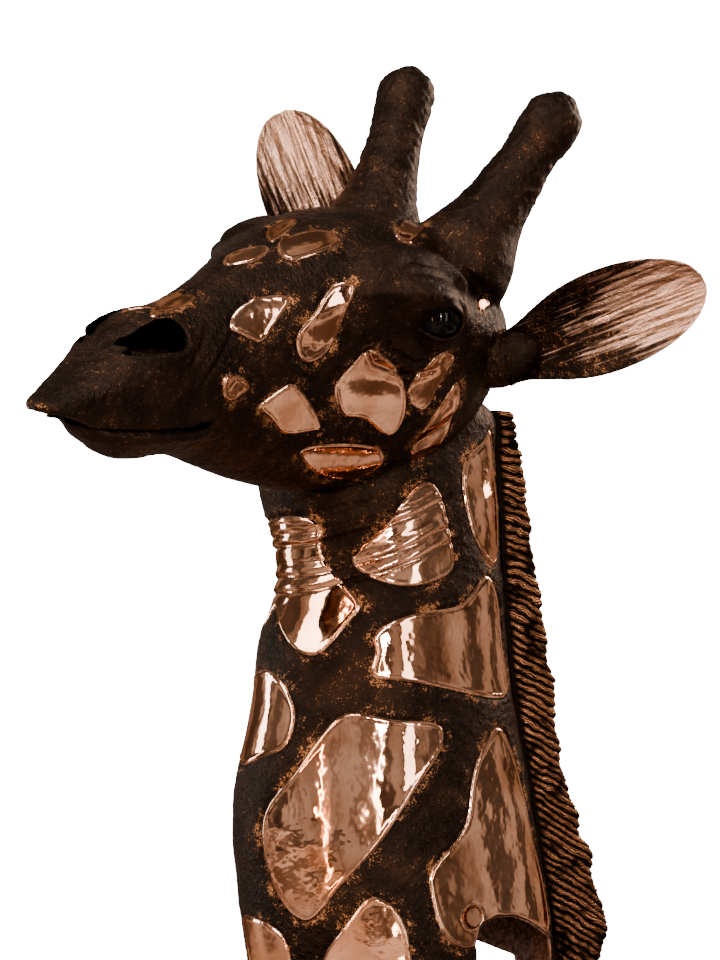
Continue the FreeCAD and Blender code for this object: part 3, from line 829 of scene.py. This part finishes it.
def build_eye(side, material):
    hand = "left" if side > 0 else "right"
    centre, radius, look, ahead, upward = eye_axes(side)
    around = np.linspace(0, 2 * math.pi, EYE_AROUND, endpoint=False)
    across = np.cos(around)[:, None] * ahead + np.sin(around)[:, None] * upward
    points = []
    for k in range(EYE_ROWS):
        polar = math.pi * (k + 0.02) / (EYE_ROWS - 0.96)
        cornea = radius * (1 + CORNEA_SWELL * math.exp(-(polar / CORNEA_HALF) ** 2))
        points.append(centre + cornea * (math.cos(polar) * look + math.sin(polar) * across))
    grid = closed_grid(EYE_ROWS, EYE_AROUND)
    made = new_object(f"eyeball_{hand}", np.concatenate(points), grid)
    finish(made, material, f"eye_{hand}")


# ---- materials ----
def node(tree, kind, inputs=None, **settings):
    made = tree.nodes.new(kind)
    for key, value in settings.items():
        setattr(made, key, value)
    for key, value in (inputs or {}).items():
        if isinstance(value, bpy.types.NodeSocket):
            tree.links.new(value, made.inputs[key])
        else:
            made.inputs[key].default_value = value
    return made


def coords(tree):
    return node(tree, "ShaderNodeTexCoord").outputs["Object"]


def value_of(tree, name):
    return node(tree, "ShaderNodeAttribute", attribute_name=name).outputs["Fac"]


def ranged(tree, value, low, high, to_low=0.0, to_high=1.0):
    """Smoothly maps low..high to to_low..to_high."""
    inputs = {"Value": value, "From Min": low, "From Max": high, "To Min": to_low, "To Max": to_high}
    made = node(tree, "ShaderNodeMapRange", inputs, interpolation_type="SMOOTHSTEP")
    return made.outputs["Result"]


def maths(tree, operation, a, b=0.0, clamp=False):
    return node(tree, "ShaderNodeMath", {0: a, 1: b}, operation=operation, use_clamp=clamp).outputs[0]


def mixed(tree, factor, a, b):
    return node(tree, "ShaderNodeMix", {0: factor, 6: a, 7: b}, data_type="RGBA").outputs[2]


def stretched(tree, vector, scale):
    return node(tree, "ShaderNodeMapping", {"Vector": vector, "Scale": scale}).outputs["Vector"]


def grain(tree, vector, scale, detail=3.0, roughness=0.55):
    inputs = {"Vector": vector, "Scale": scale, "Detail": detail, "Roughness": roughness}
    return node(tree, "ShaderNodeTexNoise", inputs).outputs["Fac"]


def bumped(tree, height, distance, strength, normal=None):
    inputs = {"Height": height, "Distance": distance, "Strength": strength}
    if normal:
        inputs["Normal"] = normal
    return node(tree, "ShaderNodeBump", inputs).outputs["Normal"]


def shaded(name, build):
    """A material whose Principled inputs are what build(tree) returns."""
    material = bpy.data.materials.new(name)
    material.use_nodes = True
    tree = material.node_tree
    shader = tree.nodes["Principled BSDF"]
    for key, value in build(tree).items():
        if isinstance(value, bpy.types.NodeSocket):
            tree.links.new(value, shader.inputs[key])
        else:
            shader.inputs[key].default_value = value
    return material


PATINA = (0.0095, 0.0056, 0.0040, 1)
PATINA_WARM = (0.034, 0.017, 0.010, 1)
RUBBED = (0.50, 0.24, 0.12, 1)
COPPER = (0.86, 0.50, 0.35, 1)
COPPER_DEEP = (0.60, 0.31, 0.19, 1)
EDGE_TINT = (0.72, 0.56, 0.47, 1)
CUT_BRONZE = (0.78, 0.48, 0.38, 1)
CUT_BRONZE_DEEP = (0.36, 0.20, 0.15, 1)
STAIN = (0.10, 0.05, 0.03, 1)
# painted shade: the black put into the nostrils and between the lips
PAINTED_PIT_SHADE = (0.0008, 0.0006, 0.0005, 1)
MANE_DARK = (0.014, 0.008, 0.005, 1)
MANE_RUBBED = (0.66, 0.32, 0.18, 1)
EAR_DARK = (0.26, 0.14, 0.09, 1)
EAR_BRIGHT = (0.80, 0.52, 0.40, 1)
EYE_BLACK = (0.0016, 0.0013, 0.0012, 1)
EYE_BROWN = (0.006, 0.004, 0.003, 1)
STEEL = (0.30, 0.30, 0.31, 1)
RUST = (0.16, 0.07, 0.035, 1)
BASE_BROWN = (0.13, 0.068, 0.042, 1)
FLOOR_DARK = (0.10, 0.07, 0.05, 1)
FLOOR_PALE = (0.60, 0.54, 0.50, 1)
WHITE = (1, 1, 1, 1)


def patina_parts(tree, vector, halo, wear):
    """Colour, roughness and normal of dark bronze, rubbed bright where halo and wear are high."""
    fine = grain(tree, vector, 620.0, 2.0)
    coarse = grain(tree, vector, 150.0, 3.0)
    cloud = grain(tree, vector, 26.0, 3.0)
    lift = maths(tree, "ADD", maths(tree, "MULTIPLY", halo, 0.16), maths(tree, "MULTIPLY", wear, 0.13))
    lift = maths(tree, "ADD", lift, maths(tree, "MULTIPLY", ranged(tree, cloud, 0.45, 0.70), 0.05))
    sparkle = maths(tree, "ADD", maths(tree, "MULTIPLY", fine, 0.62), maths(tree, "MULTIPLY", coarse, 0.38))
    sparkle = maths(tree, "ADD", sparkle, lift)
    rub = ranged(tree, sparkle, 0.610, 0.735)
    brown = mixed(tree, ranged(tree, cloud, 0.35, 0.75), PATINA, PATINA_WARM)
    colour = mixed(tree, maths(tree, "MULTIPLY", rub, 0.85), brown, RUBBED)
    rough = ranged(tree, coarse, 0.3, 0.7, 0.28, 0.46)
    normal = bumped(tree, fine, 0.0011, 0.9, bumped(tree, coarse, 0.0026, 0.8))
    return colour, rough, normal


def bronze(tree):
    """The castings and the panels: bright inside an outline, dark outside it."""
    vector = coords(tree)
    edge = value_of(tree, "edge_mm")
    wear = ranged(tree, value_of(tree, "wear"), 0.10, 0.75)
    patches = ranged(tree, grain(tree, vector, 42.0), 0.36, 0.66)
    halo = maths(tree, "MULTIPLY", ranged(tree, edge, -15.0, -1.2), patches)
    dark, dark_rough, dark_normal = patina_parts(tree, vector, halo, wear)
    ragged = maths(tree, "ADD", edge, maths(tree, "MULTIPLY", grain(tree, vector, 330.0, 3.0), -0.9))
    polish = ranged(tree, ragged, 0.35, 1.1)
    tone = grain(tree, vector, 17.0, 2.0)
    copper = mixed(tree, ranged(tree, tone, 0.35, 0.70), COPPER, COPPER_DEEP)
    stain = maths(tree, "MULTIPLY", ranged(tree, grain(tree, vector, 75.0, 4.0), 0.60, 0.76),
                  ranged(tree, edge, 14.0, 2.0))
    copper = mixed(tree, maths(tree, "MULTIPLY", stain, 0.8), copper, STAIN)
    smear = grain(tree, stretched(tree, vector, (1.0, 1.0, 0.25)), 60.0, 2.0)
    bright_rough = ranged(tree, smear, 0.3, 0.75, 0.03, 0.12)
    waves = bumped(tree, grain(tree, vector, 24.0, 1.0), 0.0035, 0.55)
    dents = bumped(tree, grain(tree, vector, 95.0, 1.0), 0.0010, 0.35, waves)
    raw = value_of(tree, "raw")
    sawn = ranged(tree, grain(tree, vector, 210.0), 0.35, 0.7)
    cut = mixed(tree, sawn, CUT_BRONZE, CUT_BRONZE_DEEP)
    # painted shade: black, matt and fully metallic in the nostrils and between the lips, so no light shows
    # there
    pit_shade = value_of(tree, "pit_shade")
    colour = mixed(tree, raw, mixed(tree, polish, dark, copper), cut)
    colour = mixed(tree, pit_shade, colour, PAINTED_PIT_SHADE)
    rough = maths(tree, "ADD", maths(tree, "MULTIPLY", polish, bright_rough),
                  maths(tree, "MULTIPLY", maths(tree, "SUBTRACT", 1.0, polish), dark_rough))
    matt = maths(tree, "MULTIPLY", maths(tree, "MAXIMUM", raw, pit_shade), 0.35)
    rough = maths(tree, "ADD", rough, matt)
    blend = node(tree, "ShaderNodeMix", {0: polish, 4: dark_normal, 5: dents}, data_type="VECTOR")
    normal = blend.outputs[1]
    metallic = maths(tree, "MAXIMUM", ranged(tree, polish, 0.0, 1.0, 0.55, 1.0), pit_shade)
    return {"Base Color": colour, "Roughness": rough, "Normal": normal, "Metallic": metallic,
            "Specular Tint": EDGE_TINT, "Specular IOR Level": 0.5}


def mane_bronze(tree):
    vector = coords(tree)
    ridge = value_of(tree, "ridge")
    reach = value_of(tree, "reach_mm")
    hairs = grain(tree, stretched(tree, vector, (1.0, 0.35, 2.4)), 430.0, 3.0)
    lit = ranged(tree, maths(tree, "ADD", ridge, maths(tree, "MULTIPLY", hairs, 0.6)), 0.74, 1.18)
    patch = ranged(tree, grain(tree, vector, 55.0, 3.0), 0.30, 0.56)
    lit = maths(tree, "MULTIPLY", maths(tree, "MULTIPLY", lit, patch), ranged(tree, reach, 1.0, 7.0))
    colour = mixed(tree, lit, MANE_DARK, MANE_RUBBED)
    rough = ranged(tree, lit, 0.0, 1.0, 0.46, 0.24)
    normal = bumped(tree, hairs, 0.0012, 0.8)
    return {"Base Color": colour, "Roughness": rough, "Normal": normal, "Metallic": 0.9,
            "Specular Tint": EDGE_TINT}


def ear_bronze(tree):
    """Polished hollows with dark hairs drawn from the foot towards the tip."""
    vector = coords(tree)
    along = value_of(tree, "along")
    across = value_of(tree, "across_mm")
    inner = value_of(tree, "inner")
    drawn_out = {0: maths(tree, "MULTIPLY", across, 0.30), 1: maths(tree, "MULTIPLY", along, 3.2), 2: inner}
    lines = node(tree, "ShaderNodeCombineXYZ", drawn_out).outputs[0]
    streak = grain(tree, lines, 1.0, 5.0, 0.62)
    blotch = grain(tree, vector, 30.0, 3.0)
    rim = ranged(tree, maths(tree, "ABSOLUTE", across), 24.0, 46.0)
    bright = maths(tree, "ADD", maths(tree, "MULTIPLY", along, 0.55), maths(tree, "MULTIPLY", streak, 0.95))
    bright = maths(tree, "ADD", bright, maths(tree, "MULTIPLY", blotch, 0.35))
    bright = maths(tree, "SUBTRACT", bright, maths(tree, "MULTIPLY", rim, 0.16))
    polish = ranged(tree, bright, 0.84, 1.06)
    polish = maths(tree, "MULTIPLY", polish, maths(tree, "ADD", maths(tree, "MULTIPLY", inner, 0.85), 0.10))
    edge = ranged(tree, value_of(tree, "wear"), 0.15, 0.6)
    dark, _, dark_normal = patina_parts(tree, vector, 0.30, edge)
    copper = mixed(tree, ranged(tree, streak, 0.40, 0.62), EAR_DARK, EAR_BRIGHT)
    colour = mixed(tree, polish, dark, copper)
    rough = ranged(tree, polish, 0.0, 1.0, 0.42, 0.20)
    normal = bumped(tree, streak, 0.0015, 0.6, dark_normal)
    return {"Base Color": colour, "Roughness": rough, "Normal": normal,
            "Metallic": ranged(tree, polish, 0.0, 1.0, 0.70, 1.0),
            "Specular Tint": EDGE_TINT, "Specular IOR Level": 0.35}


def eye_glass(tree):
    vector = coords(tree)
    cloud = grain(tree, vector, 90.0, 2.0)
    colour = mixed(tree, ranged(tree, cloud, 0.4, 0.7), EYE_BLACK, EYE_BROWN)
    return {"Base Color": colour, "Roughness": ranged(tree, cloud, 0.3, 0.7, 0.02, 0.05),
            "Specular IOR Level": 0.22}


def frame_steel(tree):
    vector = coords(tree)
    mill = grain(tree, stretched(tree, vector, (1, 1, 0.15)), 160.0, 4.0)
    rust = ranged(tree, grain(tree, vector, 34.0, 5.0), 0.56, 0.72)
    colour = mixed(tree, rust, STEEL, RUST)
    return {"Base Color": colour, "Roughness": ranged(tree, mill, 0.3, 0.7, 0.32, 0.55),
            "Metallic": ranged(tree, rust, 0, 1, 0.95, 0.2), "Normal": bumped(tree, mill, 0.0006, 0.5)}


def polished_bolt(tree):
    vector = coords(tree)
    scratches = grain(tree, stretched(tree, vector, (1, 0.2, 1.6)), 420.0, 3.0)
    tone = grain(tree, vector, 120.0, 3.0)
    colour = mixed(tree, ranged(tree, tone, 0.45, 0.7), COPPER, COPPER_DEEP)
    return {"Base Color": colour, "Roughness": ranged(tree, scratches, 0.3, 0.7, 0.12, 0.24),
            "Metallic": 1.0, "Normal": bumped(tree, scratches, 0.0003, 0.3)}


def base_bronze(tree):
    vector = coords(tree)
    dark, rough, normal = patina_parts(tree, vector, 0.0, 0.15)
    smear = grain(tree, stretched(tree, vector, (0.4, 1.0, 1.0)), 38.0, 4.0)
    colour = mixed(tree, ranged(tree, smear, 0.50, 0.80, 0.0, 0.6), dark, BASE_BROWN)
    return {"Base Color": colour, "Roughness": rough, "Normal": normal, "Metallic": 0.75}


FLOOR_GLOW = 9.0


def studio_floor(tree):
    """White where it is looked at; darker and mottled where the bronze reflects it."""
    vector = coords(tree)
    mottle = ranged(tree, grain(tree, vector, 1.7, 1.5), 0.42, 0.58)
    seen = node(tree, "ShaderNodeLightPath").outputs["Is Camera Ray"]
    return {"Base Color": mixed(tree, mottle, FLOOR_DARK, FLOOR_PALE), "Roughness": 0.7,
            "Emission Color": WHITE, "Emission Strength": maths(tree, "MULTIPLY", seen, FLOOR_GLOW),
            "Normal": bumped(tree, grain(tree, vector, 90.0), 0.0005, 0.2)}


# ---- camera, lights and floor ----
CAMERA_AZIMUTH = 68
CAMERA_DISTANCE = 3.3
CAMERA_HEIGHT = 0.20
CAMERA_AIM = Vector((0, -0.045, 0.52))
CAMERA_LENS = 123.0


def round_bust(azimuth, distance, height):
    """A place round the bust, from the azimuth in degrees off its front."""
    a = math.radians(azimuth)
    return distance * math.sin(a), -distance * math.cos(a), height


def aimed(obj, target):
    obj.rotation_mode = "QUATERNION"
    obj.rotation_quaternion = (Vector(target) - obj.location).to_track_quat("-Z", "Y")
    bpy.context.scene.collection.objects.link(obj)


def place_camera():
    camera = bpy.data.objects.new("camera", bpy.data.cameras.new("camera"))
    camera.location = round_bust(CAMERA_AZIMUTH, CAMERA_DISTANCE, CAMERA_HEIGHT)
    camera.data.lens = CAMERA_LENS
    aimed(camera, CAMERA_AIM)
    bpy.context.scene.camera = camera


LIGHTS_AIM = (0, 0, 0.55)
# name, azimuth in degrees, height above the floor, distance, width, height, watts, colour
LIGHTS = [
    ("key", 20, 1.9, 2.6, 1.3, 1.6, 46, (1.0, 0.97, 0.93)),
    ("fill", 118, 0.8, 2.8, 0.5, 2.0, 16, (1.0, 0.95, 0.90)),
    ("strip_warm", 50, 0.7, 2.4, 0.09, 1.9, 16, (1.0, 0.50, 0.22)),
    ("strip_cool", -40, 0.4, 2.2, 0.5, 1.8, 20, (0.86, 0.93, 1.0)),
    ("strip_side", 88, 0.9, 2.6, 0.13, 1.8, 11, (1.0, 0.82, 0.66)),
    ("catch", 88, 0.95, 2.3, 0.26, 0.26, 12, (1.0, 1.0, 1.0)),
    ("top", 70, 2.6, 1.0, 0.9, 0.9, 22, (1.0, 0.96, 0.92)),
    ("rear", 200, 1.6, 2.4, 1.2, 1.2, 34, (1.0, 0.93, 0.86)),
]


def place_lights():
    for name, azimuth, height, distance, width, tall, watts, colour in LIGHTS:
        light = bpy.data.lights.new(name, "AREA")
        light.shape = "RECTANGLE"
        light.size = width
        light.size_y = tall
        light.energy = watts
        light.color = colour
        lamp = bpy.data.objects.new(name, light)
        lamp.location = round_bust(azimuth, distance, height)
        aimed(lamp, LIGHTS_AIM)


# Where each colour of the reflected room lies in its noise.
ROOM_STOPS = [(0.34, (0.035, 0.022, 0.012)), (0.46, (0.16, 0.105, 0.06)), (0.50, (0.70, 0.58, 0.48)),
              (0.60, (1.15, 1.0, 0.9)), (0.68, (0.26, 0.15, 0.08))]
ROOM_OVERHEAD = (0.75, 0.68, 0.62, 1)
ROOM_STRENGTH = 0.50
BACKDROP_STRENGTH = 12.0


def room(tree):
    """A white backdrop to the camera; a dim warm room in the reflections."""
    way = node(tree, "ShaderNodeTexCoord").outputs["Generated"]
    bands = grain(tree, stretched(tree, way, (1.0, 1.0, 0.30)), 3.1, 1.2)
    height = node(tree, "ShaderNodeSeparateXYZ", {0: way}).outputs[2]
    ramp = node(tree, "ShaderNodeValToRGB", {0: bands})
    elements = ramp.color_ramp.elements
    for element, (position, colour) in zip(elements, (ROOM_STOPS[0], ROOM_STOPS[-1])):
        element.position = position
        element.color = (*colour, 1)
    for position, colour in ROOM_STOPS[1:-1]:
        elements.new(position).color = (*colour, 1)
    overhead = ranged(tree, height, -0.25, 0.35, 0.0, 0.30)
    lit = mixed(tree, overhead, ramp.outputs[0], ROOM_OVERHEAD)
    seen = node(tree, "ShaderNodeLightPath").outputs["Is Camera Ray"]
    return mixed(tree, seen, lit, WHITE), ranged(tree, seen, 0, 1, ROOM_STRENGTH, BACKDROP_STRENGTH)


def place_world():
    bpy.context.scene.view_settings.look = "AgX - Medium High Contrast"
    world = bpy.data.worlds.new("studio")
    world.use_nodes = True
    bpy.context.scene.world = world
    colour, strength = room(world.node_tree)
    background = world.node_tree.nodes["Background"]
    world.node_tree.links.new(colour, background.inputs["Color"])
    world.node_tree.links.new(strength, background.inputs["Strength"])


FLOOR_HALF = 9.0


def place_floor():
    corners = FLOOR_HALF * np.array([[-1, -1, 0], [1, -1, 0], [1, 1, 0], [-1, 1, 0]])
    floor = new_object("floor", corners, np.array([[0, 1, 2, 3]]), smooth=False)
    floor.data.materials.append(shaded("studio_floor", studio_floor))


def coat_cad(node_name, material):
    slots = NODES[node_name].data.materials
    slots.clear()
    slots.append(material)


def main():
    builders = {"dark_bronze": bronze, "polished_bronze": bronze, "mane_bronze": mane_bronze,
                "ear_bronze": ear_bronze, "eye_glass": eye_glass}
    materials = {name: shaded(name, build) for name, build in builders.items()}
    build_castings(materials)
    for name in MANE:
        mane_segment(name, materials)
    for name in EARS:
        build_ear(name, materials)
    build_eye(1, materials["eye_glass"])
    build_eye(-1, materials["eye_glass"])
    coat_cad("side_bolts", shaded("polished_bolt", polished_bolt))
    steel = shaded("frame_steel", frame_steel)
    coat_cad("frame", steel)
    coat_cad("foot_bolts", steel)
    coat_cad("base_plate", shaded("base_bronze", base_bronze))
    place_camera()
    place_lights()
    place_world()
    place_floor()


main()
